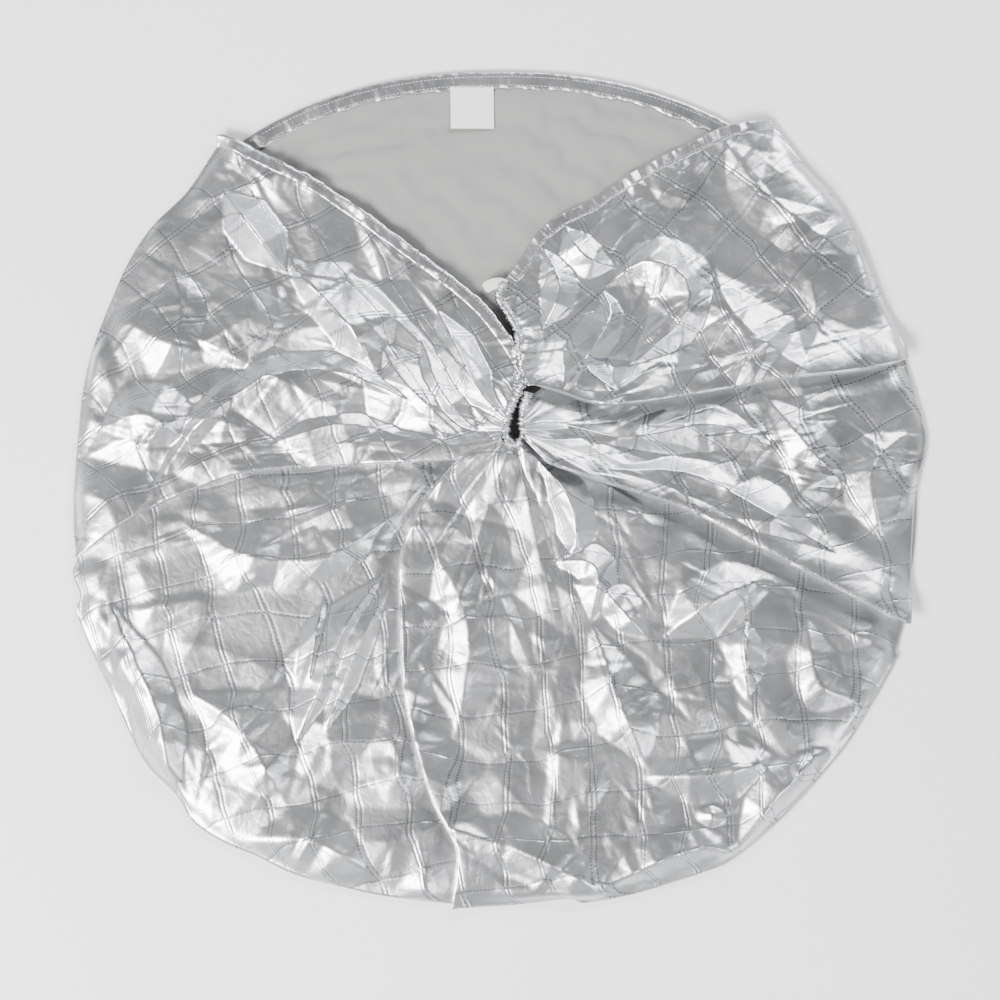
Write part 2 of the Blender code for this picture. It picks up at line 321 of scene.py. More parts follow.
lining_mesh = grid_mesh("front_lining_cloth", LINING_CELLS, LINING_CELLS, lining_place, lining_cloth)
front_lining = add_piece("front_lining_cloth", turned_up(lining_mesh), lining_finish())
thicken(front_lining, 0.5 * MM)


# Front panel, outer side: silver foil cloth with its wadding, quilted in squares. Its edge
# shows all round as a thin rim under the rear panel.
FOIL_COLOR = (0.64, 0.652, 0.667)
THREAD_SHADE = (0.16, 0.19, 0.24)
THREAD_STRENGTH = 0.75
THREAD_BEAT = 3.4 * MM
THREAD_DASH = 0.68
SECOND_LINE = 4 * MM
FOIL_FLATS, FOIL_STREAKS, FOIL_GRAIN, FOIL_GROOVE = 0.27, 0.08, 0.035, -0.16
FOIL_CELLS = 180
FOIL_LEVEL = 1.9 * MM
FOIL_INSET = 0.4 * MM
CLOTH_THICKNESS = 1.5 * MM


def math_of(tree, operation, *values):
    made = tree.nodes.new("ShaderNodeMath")
    made.operation = operation
    for socket, value in zip(made.inputs, values):
        if isinstance(value, bpy.types.NodeSocket):
            tree.links.new(value, socket)
        else:
            socket.default_value = value
    return made.outputs["Value"]


def quilting_nodes(tree):
    """Thread and groove strengths of the square quilting, read from the cloth coordinates."""
    cloth = node(tree, "ShaderNodeUVMap", uv_map="cloth").outputs["UV"]
    drift = node(tree, "ShaderNodeTexNoise", {"Vector": cloth, "Scale": 12.0, "Detail": 1.0})
    wander = math_of(tree, "MULTIPLY", drift.outputs["Fac"], 5 * MM)
    axes = node(tree, "ShaderNodeSeparateXYZ", {"Vector": cloth})
    thread, groove = 0.0, 0.0
    for across, along in (("X", "Y"), ("Y", "X")):
        run = math_of(tree, "ADD", axes.outputs[across], wander)
        for shift in (0.0, SECOND_LINE) if across == "X" else (0.0,):
            off = math_of(tree, "PINGPONG", math_of(tree, "ADD", run, shift), QUILT_PITCH / 2)
            beat = math_of(tree, "FRACT", math_of(tree, "DIVIDE", axes.outputs[along], THREAD_BEAT))
            line = math_of(tree, "LESS_THAN", off, 0.55 * MM)
            dash = math_of(tree, "MULTIPLY", line, math_of(tree, "LESS_THAN", beat, THREAD_DASH))
            thread = math_of(tree, "MAXIMUM", thread, dash)
            fade = {"Value": off, "From Max": 2.4 * MM, "To Min": 1.0, "To Max": 0.0}
            press = node(tree, "ShaderNodeMapRange", fade, interpolation_type="SMOOTHSTEP")
            groove = math_of(tree, "MAXIMUM", groove, press.outputs["Result"])
    return thread, groove


def foil_finish(name, tone=1.0, rough=0.32, quilted=True):
    """Aluminised cloth: bright and satiny, finely crinkled, with dark stitched quilting lines."""
    finish, tree, shader = shader_of(name, rough, 1.0)
    place = node(tree, "ShaderNodeTexCoord").outputs["Object"]
    patch = node(tree, "ShaderNodeTexNoise", {"Vector": place, "Scale": 24.0, "Detail": 3.0})
    limits = {"Value": patch.outputs["Fac"], "To Min": rough - 0.07, "To Max": rough + 0.12}
    spread = node(tree, "ShaderNodeMapRange", limits)
    tree.links.new(spread.outputs["Result"], shader.inputs["Roughness"])
    warp = node(tree, "ShaderNodeTexNoise", {"Vector": place, "Scale": 30.0, "Detail": 2.0})
    bent = node(tree, "ShaderNodeMix", {"Factor": 0.03}, data_type="VECTOR")
    tree.links.new(place, bent.inputs[4])
    tree.links.new(warp.outputs["Color"], bent.inputs[5])
    cells = {"Vector": bent.outputs[1], "Scale": 95.0}
    edges = node(tree, "ShaderNodeTexVoronoi", cells, feature="DISTANCE_TO_EDGE")
    flats = math_of(tree, "MINIMUM", edges.outputs["Distance"], 0.34)
    lines = {"Vector": bent.outputs[1], "Scale": 260.0, "Detail": 3.0, "Roughness": 0.6}
    streak = node(tree, "ShaderNodeTexNoise", lines)
    streak.noise_type = "RIDGED_MULTIFRACTAL"
    grain = node(tree, "ShaderNodeTexNoise", {"Vector": place, "Scale": 1400.0, "Detail": 2.0})
    height = math_of(tree, "MULTIPLY", flats, FOIL_FLATS)
    height = math_of(tree, "MULTIPLY_ADD", streak.outputs["Fac"], FOIL_STREAKS, height)
    height = math_of(tree, "MULTIPLY_ADD", grain.outputs["Fac"], FOIL_GRAIN, height)
    color = [tone * c for c in FOIL_COLOR]
    if quilted:
        thread, groove = quilting_nodes(tree)
        height = math_of(tree, "MULTIPLY_ADD", groove, FOIL_GROOVE, height)
        shade = mixed_color(tree, math_of(tree, "MULTIPLY", thread, THREAD_STRENGTH), color, THREAD_SHADE)
        tree.links.new(shade, shader.inputs["Base Color"])
    else:
        shader.inputs["Base Color"].default_value = (*color, 1)
    add_relief(tree, shader, height, 1.0, MM)
    return finish


foil = foil_finish("silver quilted foil")
plain_foil = foil_finish("silver foil hem", tone=0.88, rough=0.34, quilted=False)
inner_lining = front_lining.data.materials[0]

foil_x, foil_y, foil_share = disc_grid(FOIL_CELLS, FOIL_INSET)
foil_z = FOIL_LEVEL + 0.35 * MM * waves(foil_x, foil_y, 30 * MM, 11) * smooth((1 - foil_share) / 0.05)
foil_place = np.stack([foil_x, foil_y, foil_z], -1)
foil_mesh = grid_mesh("front_foil_panel", FOIL_CELLS, FOIL_CELLS, foil_place, foil_place[..., :2])
front_foil = add_piece("front_foil_panel", turned_up(foil_mesh), inner_lining, foil)
thicken(front_foil, CLOTH_THICKNESS, lined=True).material_offset_rim = 1


# Rear panel: the same quilted foil cloth, gathered from the rim to a small elastic mouth. It
# lies crumpled in overlapping folds, so it is made as leaves that tuck under one another.
MOUTH_MIDDLE = (14 * MM, 57 * MM)
CLEARANCE_EASE = 1.6 * MM
HIGHEST_CLOTH = 48 * MM

# Relief of the cloth, in millimetres. Facets have a cell and a rise, small creases a count, a
# reach, a rise, a width and a seed, and gathers a cell in radians or a share of an edge's run,
# a rise and a reach.
CLOTH_REST = 13
MOUTH_RISE = 16
LINING_CLEARANCE = (3.0, 6.9)
CLOTH_FACETS = ((74, 9.0), (30, 0.9), (9.5, 0.24))
CREASE_RISE, CREASE_REACH = 1.9, 1.5
SMALL_CREASES = ((150, 95, 2.3, 19, 3), (420, 52, 0.75, 4.6, 5))
MOUTH_GATHERS = ((0.14, 1.9, 26), (0.29, 2.4, 46), (0.62, 2.6, 80))
EDGE_GATHERS = ((0.028, 1.6, 9), (0.06, 1.6, 14), (0.13, 1.7, 22))
HEM_PUCKERS = ((0.011, 0.55, 9), (0.024, 0.7, 18))

# Edges and folds of the leaves in plan, in millimetres
RIM_LINE = (
    (-268, 325), (-296, 283), (-329, 250), (-351, 217), (-368, 179), (-384, 138), (-394, 98), (-399, 53),
    (-403, 0), (-403, -37), (-400, -63), (-404, -78), (-397, -100), (-400, -116), (-384, -157), (-365, -196),
    (-337, -255), (-307, -287), (-290, -313), (-263, -332), (-230, -346), (-192, -364), (-141, -377),
    (-99, -385), (-50, -394), (14, -392), (65, -386), (79, -390), (125, -382), (190, -362), (221, -348),
    (270, -306), (314, -257), (336, -227), (373, -163), (375, -150), (386, -112), (388, -119), (390, -48),
    (394, 1), (403, 48), (392, 93), (384, 125), (381, 141), (359, 191), (341, 237), (320, 274), (288, 310),
    (257, 350),
)
LEFT_HEM = (
    (22, 104), (14, 118), (0, 140), (-25, 171), (-64, 203), (-117, 242), (-170, 279), (-212, 301),
    (-256, 323), (-268, 325),
)
RIGHT_HEM = (
    (8, 202), (23, 223), (36, 243), (57, 259), (86, 274), (129, 302), (183, 329), (215, 343), (257, 350),
)
GATHERED_EDGE = ((26, 98), (21, 114), (18, 129), (16, 150), (8, 166), (-2, 182), (8, 202))
LEFT_FOLD = (
    (0, 46), (-28, 33), (-80, 29), (-132, 27), (-234, 20), (-277, 8), (-337, -18), (-367, -37), (-398, -62),
)
TONGUE_FOLD = (
    (2, 47), (-16, 38), (-38, 26), (-66, -7), (-90, -56), (-92, -117), (-88, -188), (-78, -237), (-61, -292),
    (-40, -333), (-39, -360), (-45, -395),
)
RIGHT_FOLD = ((24, 47), (38, 35), (56, 24), (120, 3), (184, -19), (261, -60), (322, -92), (383, -124))
FLAP_FOLD = ((26, 98), (34, 99), (56, 94), (84, 85), (114, 83), (180, 92), (261, 106), (332, 114), (384, 124))

# Creases of the crumpled cloth: the route, the rise, and how far it slopes to the left and right.
CREASES = (
    (((-262, 284), (-232, 245), (-201, 205)), 11, 17, 15),
    (((-198, 222), (-190, 204), (-146, 160), (-108, 98)), 8, 30, 14),
    (((-60, 171), (-45, 143), (-25, 102), (0, 72)), 7, 13, 16),
    (((-74, 145), (-60, 102), (-42, 75), (-20, 55)), 6, 14, 10),
    (((-120, 150), (-96, 110), (-70, 82), (-35, 50)), 5, 18, 16),
    (
        (
            (-337, -16), (-313, 21), (-290, 55), (-250, 90), (-207, 111), (-155, 113), (-125, 102), (-84, 84),
            (-51, 42),
        ),
        7, 12, 46,
    ),
    (((-300, 130), (-240, 160), (-190, 190)), 4, 26, 30),
    (((-310, 215), (-300, 160), (-330, 100)), 5, 22, 26),
    (((-380, 60), (-330, 70), (-290, 40)), 5, 22, 18),
    (((-230, 40), (-150, 62), (-84, 50)), 5, 14, 26),
    (((-301, -141), (-261, -128), (-197, -109), (-164, -87), (-118, -67), (-90, -50)), -4, 30, 34),
    (((-108, -74), (-147, -130), (-169, -186), (-183, -216), (-194, -243)), 7, 10, 18),
    (((-104, -90), (-128, -135), (-150, -191), (-165, -228)), 6, 9, 14),
    (((-166, -90), (-171, -126), (-185, -212)), 5, 12, 10),
    (((-300, -30), (-240, -60), (-170, -66), (-110, -30)), 5, 22, 26),
    (((-371, -103), (-352, -139), (-320, -212), (-312, -261), (-291, -302)), 7, 14, 20),
    (((-290, -190), (-240, -230), (-200, -300)), 6, 26, 24),
    (((-240, -330), (-180, -330), (-120, -360)), 5, 20, 18),
    (((36, 28), (60, 0), (70, -26), (70, -56), (50, -65)), 7, 14, 12),
    (((48, -68), (79, -66), (93, -78), (86, -125)), 6, 12, 15),
    (((95, -80), (105, -101), (140, -140)), 6, 14, 11),
    (((87, -126), (115, -204), (140, -263)), 6, 24, 20),
    (((-60, -60), (-30, -130), (-40, -230)), 5, 26, 30),
    (((-52, -316), (20, -340), (96, -377)), 6, 22, 18),
    (((96, -376), (149, -349), (194, -336), (221, -347)), 6, 16, 12),
    (((223, -341), (256, -296), (298, -250), (314, -256)), 7, 16, 14),
    (((134, -271), (212, -265), (259, -250)), 6, 22, 18),
    (((200, -296), (199, -318)), 4, 10, 10),
    (((150, -140), (212, -96), (254, -83), (263, -77)), 7, 18, 22),
    (((231, -119), (233, -199)), 5, 12, 14),
    (((290, -120), (300, -180), (340, -200)), 5, 18, 16),
    (((60, 62), (120, 50), (200, 62), (260, 40)), 6, 14, 20),
    (((100, 20), (180, 16), (250, -20), (320, -60)), 5, 18, 14),
    (((250, 90), (290, 40), (330, 0)), 5, 16, 20),
    (((390, 60), (350, 20), (360, -50)), 5, 18, 18),
    (((60, 92), (84, 130), (104, 165), (96, 190)), 8, 16, 12),
    (((96, 190), (134, 215), (170, 205), (178, 176), (160, 150), (120, 116)), 8, 18, 24),
    (((60, 250), (80, 220), (110, 210)), 5, 12, 12),
    (((104, 165), (82, 120), (110, 92)), 5, 10, 14),
    (((200, 210), (225, 160), (290, 110)), 6, 28, 32),
    (((210, 330), (250, 280), (330, 220)), 4, 30, 22),
    (((40, 230), (56, 190), (40, 150)), 5, 12, 12),
)


def dense_line(route, count):
    """A smooth line through a route's points, evenly spaced along its run, in metres."""
    steps = np.linspace(0, len(route) - 1 - 1e-9, 40 * len(route))
    curve = curve_through(np.array(route, float) * MM, steps)
    run = np.concatenate([[0], np.cumsum(np.linalg.norm(np.diff(curve, axis=0), axis=1))])
    at = np.linspace(0, run[-1], count)
    return np.stack([np.interp(at, run, curve[:, k]) for k in range(2)], -1)


def gap_to(x, y, line):
    """Distance in plan to a line, the run along it there, and its side: positive on the left."""
    best = np.full(x.shape, np.inf)
    run = np.zeros(x.shape)
    side = np.zeros(x.shape)
    start_run = 0.0
    for a, b in zip(line[:-1], line[1:]):
        way = b - a
        length = math.hypot(*way)
        t = np.clip(((x - a[0]) * way[0] + (y - a[1]) * way[1]) / length**2, 0, 1)
        off_x, off_y = x - a[0] - t * way[0], y - a[1] - t * way[1]
        away = np.hypot(off_x, off_y)
        closer = away < best
        best = np.where(closer, away, best)
        run = np.where(closer, start_run + t * length, run)
        side = np.where(closer, np.sign(way[0] * off_y - way[1] * off_x), side)
        start_run += length
    return best, run / start_run, side


def crease(x, y, line, rise, left, right):
    """A crease whose crest falls away straight to both ends, with a flat facet on each side."""
    widest = max(left, right) * MM
    low, high = line.min(0) - widest, line.max(0) + widest
    near = (x > low[0]) & (x < high[0]) & (y > low[1]) & (y < high[1])
    height = np.zeros(x.shape)
    away, share, side = gap_to(x[near], y[near], line)
    crest = 1 - np.clip(np.abs(2 * share - 1) * 1.5 - 0.5, 0, 1)
    height[near] = rise * np.clip(crest - away / (np.where(side > 0, left, right) * MM), 0, 1)
    return height


def small_creases(x, y, count, reach, rise, width, seed):
    """Many short straight creases, most of them pointing roughly at the mouth."""
    ridges, valleys = 0 * x, 0 * x
    for i in range(count):
        pick = [float(hashed(np.array(i), np.array(k), seed)) for k in range(7)]
        bearing, out = 2 * math.pi * pick[0], 400 * MM * math.sqrt(pick[1])
        middle = np.array([out * math.cos(bearing), out * math.sin(bearing)])
        to_mouth = math.atan2(middle[1] - MOUTH_MIDDLE[1], middle[0] - MOUTH_MIDDLE[0])
        turn = to_mouth + 3.4 * (pick[2] - 0.5) ** 3 * 4
        half = 0.5 * MM * reach * (0.5 + pick[3]) * np.array([math.cos(turn), math.sin(turn)])
        narrow, wide = width * (0.35 + 0.5 * pick[4]), width * (0.9 + 1.6 * pick[5])
        sides = (narrow, wide) if i % 2 else (wide, narrow)
        line = np.stack([middle - half, middle + half])
        height = crease(x, y, line, rise * (0.5 + pick[3]), *sides)
        if pick[6] > 0.35:
            ridges = np.maximum(ridges, height)
        else:
            valleys = np.maximum(valleys, height)
    return ridges - valleys


def ruffles(across, away, seed, sizes):
    """Gathers that run away from an edge: fine and short ones on long and wide ones."""
    height = 0
    for cell, rise, reach in sizes:
        height = height + rise * waves(across, 0 * across, cell, seed) * np.exp(-away / (reach * MM))
        seed += 1
    return height


def least_height(x, y):
    """The lowest that the rear panel may lie, clear of the lining under it."""
    from_rim = rim_radius(np.arctan2(y, x)) - 8 * MM - np.hypot(x, y)
    edge_gap, added_gap = LINING_CLEARANCE
    return (edge_gap + added_gap * smooth(from_rim / (34 * MM))) * MM


def above_lining(x, y, height):
    """The height eased up where it would go under the lining, so that low folds keep their shape."""
    least = least_height(x, y)
    return least + CLEARANCE_EASE * np.logaddexp(0, (height - least) / CLEARANCE_EASE)


def cloth_height(x, y):
    """Height in metres of the rear panel's crumpled cloth, before any lip is raised."""
    east, north = x - MOUTH_MIDDLE[0], y - MOUTH_MIDDLE[1]
    out = np.hypot(east, north)
    turn = np.arctan2(east, -north)
    to_rim = gap_to(x, y, dense_line(RIM_LINE, 90))[0]
    inside = 1 - np.exp(-to_rim / (9 * MM))
    roundness = (9 + 6 * waves(x, y, 42 * MM, 23)) * MM
    height = CLOTH_REST * (1 - np.exp(-to_rim / np.maximum(roundness, 3 * MM)))
    height = height + MOUTH_RISE * np.exp(-((out / (90 * MM)) ** 2))
    calm = 0.55 + 0.45 * waves(x, y, 110 * MM, 21)
    near = np.exp(-((out / (120 * MM)) ** 2))
    for cell, rise in CLOTH_FACETS:
        spread = facets(x, y, cell * MM, 31 + cell, 0.5, 1.3)
        drawn = facets(turn * 75 * MM, out * 0.55, cell * MM, 41 + cell)
        height = height + rise * (0.55 + 0.45 * calm) * inside * (near * drawn + (1 - near) * spread - 0.3)
    ridges, valleys = 0 * x, 0 * x
    for route, rise, left, right in CREASES:
        slopes = (CREASE_REACH * left, CREASE_REACH * right)
        relief = crease(x, y, dense_line(route, 14), CREASE_RISE * abs(rise), *slopes) * inside
        ridges = np.maximum(ridges, relief if rise > 0 else 0)
        valleys = np.maximum(valleys, relief if rise < 0 else 0)
    height = height + ridges - valleys
    for small in SMALL_CREASES:
        height = height + small_creases(x, y, *small) * inside
    height = height + ruffles(turn, out, 51, MOUTH_GATHERS) * smooth(out / (14 * MM))
    away, share, _ = gap_to(x, y, dense_line(GATHERED_EDGE, 30))
    height = height + ruffles(share, away, 61, EDGE_GATHERS)
    for hem, seed in ((LEFT_HEM, 71), (RIGHT_HEM, 81)):
        away, share, _ = gap_to(x, y, dense_line(hem, 60))
        height = height + ruffles(share, away, seed, HEM_PUCKERS)
    return above_lining(x, y, height * MM)


def leaf_height(x, y, lifts):
    """The cloth's height on one leaf: lifted along its own lips, and sunk where another lies on it."""
    height = cloth_height(x, y)
    for line, lift, reach in lifts:
        away = gap_to(x, y, dense_line(line, 36))[0]
        height = height + lift * MM * (1 - smooth(away / (reach * MM)))
    return np.clip(above_lining(x, y, height), 0, HIGHEST_CLOTH)


def patch(left, right, mouth, rim, columns, rows):
    """Points that fill four sides: columns run from left to right, rows from the mouth to the rim."""
    a, b = dense_line(left, rows), dense_line(right, rows)
    m, r = dense_line(mouth, columns)[:, None], dense_line(rim, columns)[:, None]
    u = np.linspace(0, 1, columns)[:, None, None]
    v = np.linspace(0, 1, rows)[None, :, None]
    corners = (1 - u) * (1 - v) * a[0] + u * (1 - v) * b[0] + (1 - u) * v * a[-1] + u * v * b[-1]
    return (1 - u) * a + u * b + (1 - v) * m + v * r - corners


def rolled_lip(plan, height, radius):
    """Columns that carry the first column on: out round a soft roll, then back underneath."""
    edge, outward = plan[0], plan[0] - plan[2]
    way = np.gradient(edge, axis=0)
    out = np.stack([way[:, 1], -way[:, 0]], -1)
    out *= np.sign((out * outward).sum()) / np.linalg.norm(out, axis=-1, keepdims=True)
    rows = np.linspace(0, 1, len(edge))
    size = radius * MM * (0.25 + 0.75 * smooth(rows / 0.08) * smooth((1 - rows) / 0.05))
    steps = [(-back, 2.0, math.pi + back) for back in (4.0, 2.6, 1.3)]
    bends = np.linspace(math.pi, 0, 10)[:-1]
    steps += [(math.sin(turn), 1 - math.cos(turn), turn) for turn in bends]
    lip_plan = np.stack([edge + out * (size * sideways)[:, None] for sideways, _, _ in steps])
    lip_flat = np.stack([edge + out * (size * run)[:, None] for _, _, run in steps])
    lip_height = np.stack([height[0] - size * drop for _, drop, _ in steps])
    return lip_plan, lip_flat, lip_height


def add_leaf(name, sides, columns, rows, turn, lifts, lips):
    """A leaf of the rear panel, lined inside. Its lips roll out by a radius: step 1 is its first side."""
    plan = patch(*sides, columns, rows)
    height = leaf_height(plan[..., 0], plan[..., 1], lifts)
    flat = plan
    for step, radius in lips:
        lip = rolled_lip(plan[::step], height[::step], radius)
        whole = [np.concatenate([new, old[::step]])[::step] for new, old in zip(lip, (plan, flat, height))]
        plan, flat, height = whole
    x, y = flat[..., 0], flat[..., 1]
    drawn = 13 * MM * waves(x, y, 130 * MM, turn) + 4 * MM * waves(x, y, 45 * MM, turn)
    pull = 1.1 * height + drawn
    across, along = turned(x, y, turn)
    place = np.concatenate([plan, height[..., None]], -1)
    mesh = grid_mesh(name, *height.shape, place, np.stack([across + pull, along - pull], -1))
    piece = add_piece(name, turned_up(mesh), foil, inner_lining)
    thicken(piece, CLOTH_THICKNESS, lined=True)
    return piece


leaf_one = add_leaf(
    "rear_upper_left",
    (LEFT_HEM, LEFT_FOLD, ((22, 104), (15, 90), (9, 76), (5, 62), (0, 46)), RIM_LINE[:11]),
    205, 205, turn=-62, lifts=((LEFT_FOLD, 5, 34),), lips=((-1, 2.6),),
)
leaf_two = add_leaf(
    "rear_lower_left",
    (
        ((-2, 56), (-30, 50), (-132, 47), (-234, 40), (-280, 28), (-340, 2), (-372, -18), (-402, -40)),
        (
            (0, 44), (-18, 26), (-46, -7), (-70, -56), (-72, -117), (-68, -188), (-58, -237), (-41, -292),
            (-22, -333), (-22, -360), (-25, -393),
        ),
        ((-2, 56), (0, 44)),
        ((-402, -40), *RIM_LINE[10:24], (-25, -393)),
    ),
    215, 195, turn=12, lifts=((LEFT_FOLD, -5, 26), (TONGUE_FOLD, -5, 26)), lips=(),
)
leaf_three = add_leaf(
    "rear_lower_right",
    (
        TONGUE_FOLD,
        ((22, 46), (40, 50), (70, 40), (130, 20), (190, 2), (268, -38), (330, -76), (386, -112)),
        ((2, 47), (6, 43), (12, 40), (18, 42), (22, 46)),
        ((-45, -395), *RIM_LINE[25:37]),
    ),
    215, 205, turn=4, lifts=((TONGUE_FOLD, 6, 38), (RIGHT_FOLD, -7, 34)), lips=((1, 3.0),),
)
leaf_four = add_leaf(
    "rear_right",
    (
        RIGHT_FOLD,
        ((28, 88), (60, 108), (114, 103), (180, 112), (261, 126), (332, 134), (382, 142)),
        ((24, 47), (22, 58), (22, 72), (28, 88)),
        ((383, -124), (388, -119), (390, -48), (394, 1), (403, 48), (392, 93), (384, 125), (382, 142)),
    ),
    175, 205, turn=30, lifts=((RIGHT_FOLD, 13, 46), (FLAP_FOLD, -5, 30)), lips=((1, 3.4),),
)
FLAP_LIFTS = ((FLAP_FOLD, 12, 50),)
leaf_five = add_leaf(
    "rear_corner_flap",
    (FLAP_FOLD, RIGHT_HEM, GATHERED_EDGE, RIM_LINE[42:]),
    190, 205, turn=48, lifts=FLAP_LIFTS, lips=((1, 3.6),),
)


# Folded hems: the edge of the cloth turned in twice, in plain foil, finely puckered by its
# stitching. One runs along the free arc of the front panel and one along each side of the V.
HEM_SECTION = (
    (1.0, -0.3), (0.96, 0.6), (0.75, 0.8), (0.5, 0.8), (0.25, 0.8), (0.06, 0.8), (-0.05, 0.5), (-0.10, -0.4),
    (-0.05, -1.6), (0.08, -2.0), (0.35, -2.0), (0.7, -2.0),
)
ARC_HEM_WIDTH, SIDE_HEM_WIDTH = 15 * MM, 11 * MM
ARC_PUCKER, SIDE_PUCKER = 0.42 * MM, 0.3 * MM
ARC_HEM_LEVEL = 4.2 * MM


def edge_frame(line):
    """Unit normals in plan, to the left of each point of a line."""
    way = np.gradient(line, axis=0)
    way /= np.linalg.norm(way, axis=-1, keepdims=True)
    return np.stack([-way[:, 1], way[:, 0]], -1)


def add_hem(name, line, side, width, level_at, pucker, seed):
    """A strip folded round the edge of a cloth: side is 1 where the cloth lies on the line's left."""
    inward = edge_frame(line) * side
    run = np.linspace(0, len(line) * 1.1, len(line)) * MM
    columns = []
    for share, rise in HEM_SECTION:
        wander = 1 + 0.07 * waves(run, 0 * run, 13 * MM, seed + 3) + 0.05 * waves(run, 0 * run, 5 * MM, seed)
        reach = width * share * np.where(share > 0.3, wander, 1)
        plan = line + inward * reach[:, None]
        over = line + inward * np.maximum(reach, 0)[:, None]
        height = level_at(over[:, 0], over[:, 1]) + rise * MM
        if rise > 0:
            fine, wide = waves(run, 0 * run + share, 4.5 * MM, seed), waves(run, 0 * run, 9 * MM, seed + 1)
            height = height + pucker * (fine + wide)
        columns.append(np.concatenate([plan, height[:, None]], -1))
    place = np.stack(columns, 1)
    across = np.array([width * share for share, _ in HEM_SECTION])
    cloth = np.stack(np.broadcast_arrays(run[:, None], across), -1)
    mesh = grid_mesh(name, len(line), len(HEM_SECTION), place, cloth)
    piece = add_piece(name, turned_up(mesh), plain_foil)
    thicken(piece, 0.35 * MM)
    return piece


def level(height):
    """A height function that is the same all over."""
    return lambda x, y: np.full_like(x, height)


def flap_height(x, y):
    return leaf_height(x, y, FLAP_LIFTS)


def at_rim(bearings, inset=0.0):
    """Points in plan along the front panel's edge, set in from it."""
    way = np.stack([np.cos(bearings), np.sin(bearings)], -1)
    return way * (rim_radius(bearings) - inset)[:, None]


arc_line = at_rim(np.radians(np.linspace(FREE_ARC[0] - 4, FREE_ARC[1] + 1, 560)))
arc_hem = add_hem("arc_hem_fold", arc_line, 1, ARC_HEM_WIDTH, level(ARC_HEM_LEVEL), ARC_PUCKER, 5)
left_line = dense_line(LEFT_HEM, 420)
left_hem = add_hem("left_hem_fold", left_line, -1, SIDE_HEM_WIDTH, cloth_height, SIDE_PUCKER, 15)
right_line = dense_line(RIGHT_HEM, 360)
right_hem = add_hem("corner_hem_fold", right_line, -1, SIDE_HEM_WIDTH, flap_height, SIDE_PUCKER, 25)


# Stitches: pale grey polyester thread, one small rounded stitch at a time. Two rows hold the
# arc hem, and one row each the two side hems, the rim seam and the label.
STITCH_PITCH, STITCH_LENGTH = 3.6 * MM, 2.6 * MM
STITCH_HALF_WIDTH, STITCH_HALF_HEIGHT = 0.38 * MM, 0.34 * MM
ARC_STITCH_INSETS = (3.5 * MM, 11.5 * MM)
ARC_STITCH_LEVEL = 5.2 * MM
SIDE_STITCH_INSET = -8.3 * MM
SIDE_STITCH_RISE = 0.9 * MM
RIM_STITCH_LEVEL = 2.4 * MM


def thread_finish():
    """Twisted polyester thread, with dim diagonal turns."""
    finish, tree, shader = shader_of("polyester thread", 0.6)
    place = node(tree, "ShaderNodeTexCoord").outputs["Object"]
    turns = {"Vector": place, "Scale": 700.0}
    twist = node(tree, "ShaderNodeTexWave", turns, bands_direction="DIAGONAL")
    tint = mixed_color(tree, twist.outputs["Fac"], (0.42, 0.42, 0.42), (0.66, 0.65, 0.64))
    tree.links.new(tint, shader.inputs["Base Color"])
    return finish


sewing_thread = thread_finish()


def add_stitches(name, line, inset, level_at, pitch=STITCH_PITCH, length=STITCH_LENGTH):
    """A row of separate stitches, set in from a line to its left by the inset."""
    row = line + edge_frame(line) * inset
    run = np.concatenate([[0], np.cumsum(np.linalg.norm(np.diff(row, axis=0), axis=1))])
    sewn = bmesh.new()
    starts = np.arange(pitch, run[-1] - pitch, pitch)
    ends = (starts, starts + length)
    a, b = [np.stack([np.interp(end, run, row[:, k]) for k in range(2)], -1) for end in ends]
    middles = (a + b) / 2
    levels = level_at(middles[:, 0], middles[:, 1])
    leans = np.arctan2(b[:, 1] - a[:, 1], b[:, 0] - a[:, 0])
    for middle, level, lean in zip(middles, levels, leans):
        place = Matrix.Translation((*middle, level)) @ Matrix.Rotation(lean, 4, "Z")
        place = place @ Matrix.Diagonal((length / 2, STITCH_HALF_WIDTH, STITCH_HALF_HEIGHT, 1))
        bmesh.ops.create_icosphere(sewn, subdivisions=2, radius=1, matrix=place)
    mesh = bpy.data.meshes.new(name)
    sewn.to_mesh(mesh)
    sewn.free()
    return add_piece(name, mesh, sewing_thread)


def raised(height_at):
    """A height function for stitches that stand out of a cloth of the given height."""
    return lambda x, y: height_at(x, y) + SIDE_STITCH_RISE


outer_inset, inner_inset = ARC_STITCH_INSETS
arc_level = level(ARC_STITCH_LEVEL)
arc_stitches = add_stitches("arc_hem_stitches", arc_line, outer_inset, arc_level)
arc_inner_stitches = add_stitches("arc_hem_inner_stitches", arc_line, inner_inset, arc_level)
left_stitches = add_stitches("left_hem_stitches", left_line, SIDE_STITCH_INSET, raised(cloth_height))
right_stitches = add_stitches("corner_hem_stitches", right_line, SIDE_STITCH_INSET, raised(flap_height))
rim_run = at_rim(np.radians(np.linspace(130.5, 410.6, 600)), 8 * MM)
rim_stitches = add_stitches("rim_seam_stitches", rim_run, 3 * MM, level(RIM_STITCH_LEVEL))


# Label: a blank white satin ribbon, sewn under the arc hem by its upper edge. Its lower end
# hangs free and curls up a little.
LABEL_LEFT, LABEL_RIGHT = -47 * MM, -6 * MM
LABEL_FOOT, LABEL_HEAD = 342 * MM, 382 * MM
LABEL_CELLS = 50
LABEL_LEVEL = 5.0 * MM
LABEL_CURL, LABEL_BOW = 2.6 * MM, 0.5 * MM
LABEL_STITCH_LINE = 380.8 * MM
LABEL_STITCH_LEVEL = 5.6 * MM


